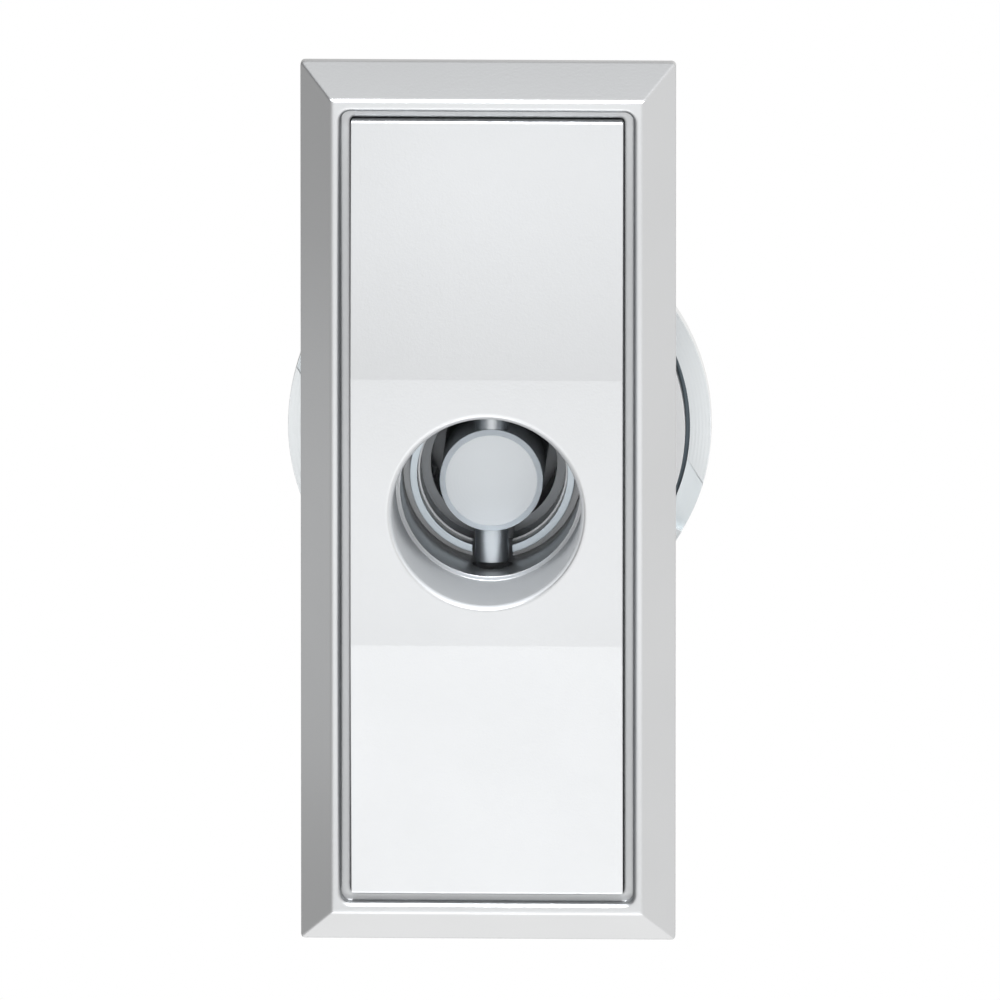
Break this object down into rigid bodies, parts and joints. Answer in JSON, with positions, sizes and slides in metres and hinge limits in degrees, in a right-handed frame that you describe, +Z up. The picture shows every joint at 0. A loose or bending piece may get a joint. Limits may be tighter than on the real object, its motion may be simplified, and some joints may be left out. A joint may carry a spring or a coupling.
{
  "type": "t-handle lock",
  "caption": "Flush rectangular lock with a bevelled bezel and a humped T-handle that pulls out of its pocket, bored for a lock plug, with a cross-pinned spindle and a round latch disc behind.",
  "frame": {"origin": "on the spindle and plug-bore axis, in the plane where the bezel seats on its panel", "axes": "+Z up along the bezel's height, +X to the right seen from the front, front face towards -Y, spindle tail towards +Y"},
  "size_m": [0.0432, 0.0685, 0.0904],
  "materials": {
    "bezel_plate": "die-cast zinc, satin nickel-chrome plated",
    "handle_plate": "die-cast zinc, satin nickel-chrome plated",
    "cap_plate": "die-cast zinc, satin plated",
    "disc_plate": "turned steel, bright zinc plated",
    "turned_steel": "turned steel, satin plated",
    "zinc_steel": "pressed and rolled steel, bright zinc plated",
    "spring_steel": "drawn spring wire",
    "bush_bronze": "sintered bronze",
    "bush_plastic": "natural acetal",
    "seal_rubber": "moulded black rubber"
  },
  "bodies": {
    "housing": {"bezel_housing": "bezel_plate", "panel_seal": "seal_rubber", "stem_seal": "seal_rubber", "guide_bush": "bush_plastic", "buffer_pads": "seal_rubber", "return_spring": "spring_steel", "spring_seat": "zinc_steel", "spindle_bush": "bush_bronze", "rear_cap": "cap_plate", "cap_screws": "zinc_steel", "stop_pin": "turned_steel", "clamp_bridge_upper": "zinc_steel", "clamp_bridge_lower": "zinc_steel", "fixing_studs": "zinc_steel", "fixing_washers": "zinc_steel", "fixing_nuts": "zinc_steel"},
    "handle": {"t_handle": "handle_plate"},
    "spindle": {"spindle": "turned_steel", "cross_pin": "turned_steel", "thrust_washer": "bush_plastic", "latch_disc": "disc_plate", "tail_washer": "spring_steel", "tail_nut": "zinc_steel"}
  },
  "joints": [
    {"name": "handle_pull", "type": "slide", "parent": "housing", "child": "handle", "axis": [0, -1, 0], "range_m": [0, 0.012], "deforming": ["return_spring"]},
    {"name": "spindle_turn", "type": "hinge", "parent": "housing", "child": "spindle", "pos_m": [0, 0, 0], "axis": [0, 1, 0], "range_deg": [0, 90]}
  ]
}
